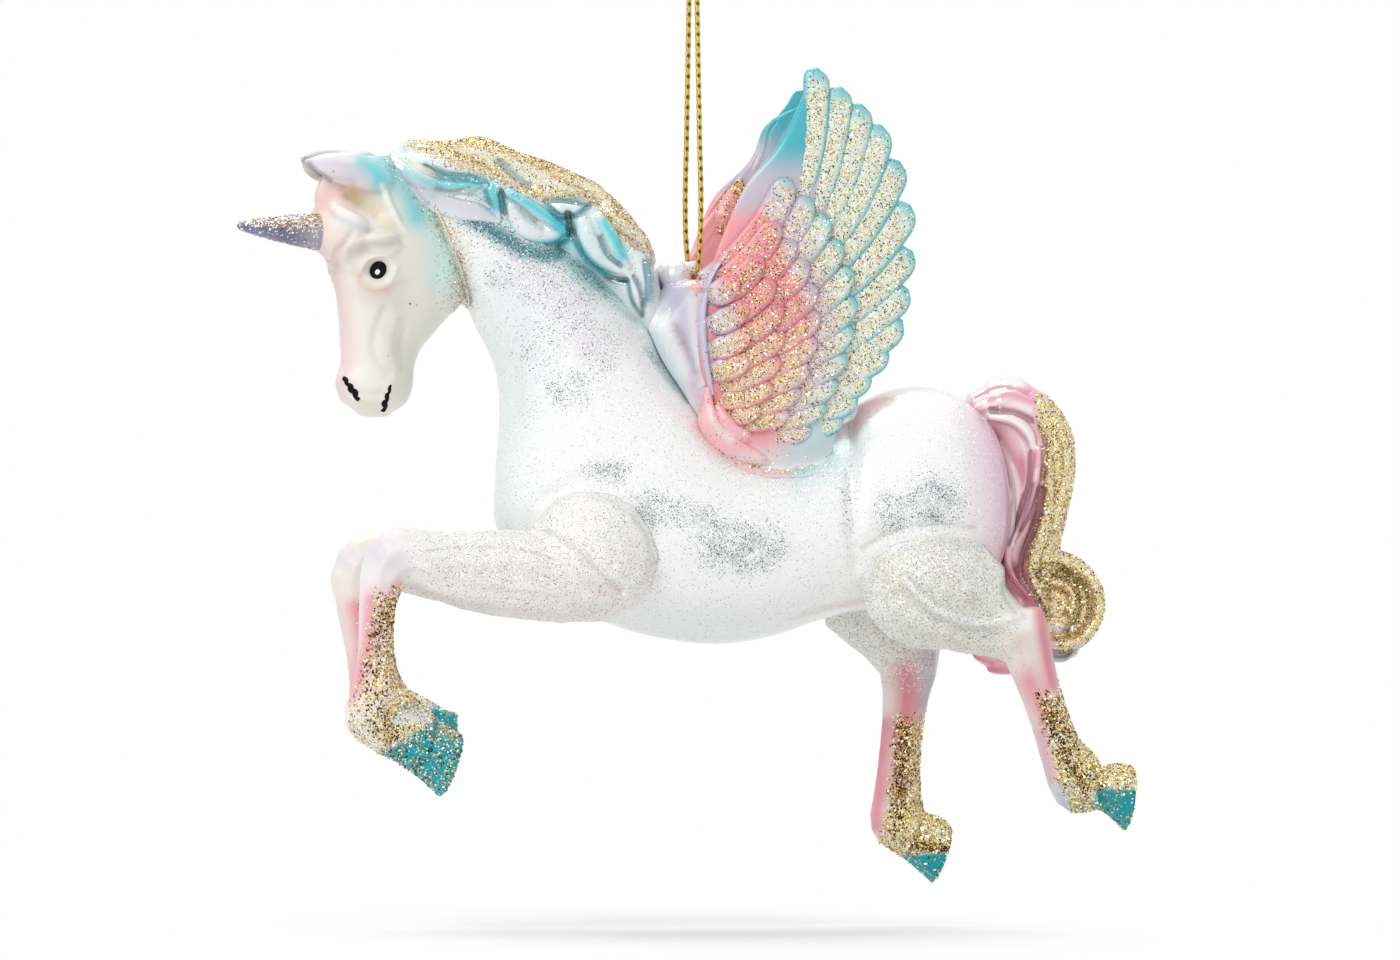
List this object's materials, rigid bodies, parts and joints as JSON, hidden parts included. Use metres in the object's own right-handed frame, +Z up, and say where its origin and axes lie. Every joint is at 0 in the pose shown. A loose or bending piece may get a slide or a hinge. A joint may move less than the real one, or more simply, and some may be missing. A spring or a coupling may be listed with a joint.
{
  "type": "hanging ornament",
  "caption": "Hanging winged-unicorn ornament: hollow glass body with glass mane and tail, cast head, horn, legs and feathered wings, swinging on a thin gold cord loop.",
  "frame": {"origin": "hanging point, between the two cord strands just under the knot", "axes": "+Z up along the hanging cord, the animal faces -X, its left side is -Y"},
  "size_m": [0.1332, 0.0336, 0.1485],
  "materials": {
    "pearl_glass": "silvered inside, pearl lacquer with fine silver glitter",
    "teal_glass": "glossy silver and teal lacquer with gold glitter",
    "rose_glass": "glossy rose lacquer with gold glitter",
    "ivory_cast": "waxy satin, tinted rose and teal",
    "slate_cast": "satin with silver glitter",
    "rose_cast": "waxy satin, white to rose to teal, gold glitter",
    "wing_cast": "satin, rose to lavender to teal, heavy gold glitter",
    "lavender_cast": "glossy lavender and rose",
    "gold_cord": "braided metallic thread"
  },
  "bodies": {
    "hanger": {"cord_left_strand": "gold_cord", "cord_right_strand": "gold_cord", "cord_knot": "gold_cord"},
    "ornament": {"glass_body": "pearl_glass", "glass_mane": "teal_glass", "glass_tail": "rose_glass", "head": "ivory_cast", "horn": "slate_cast", "left_foreleg": "rose_cast", "right_foreleg": "rose_cast", "left_hind_leg": "rose_cast", "right_hind_leg": "rose_cast", "left_wing": "wing_cast", "right_wing": "wing_cast", "wing_saddle": "lavender_cast"}
  },
  "joints": [
    {"name": "swing", "type": "hinge", "parent": "hanger", "child": "ornament", "pos_m": [0, 0, -0.052], "axis": [0, 1, 0], "range_deg": [-35, 35]}
  ]
}
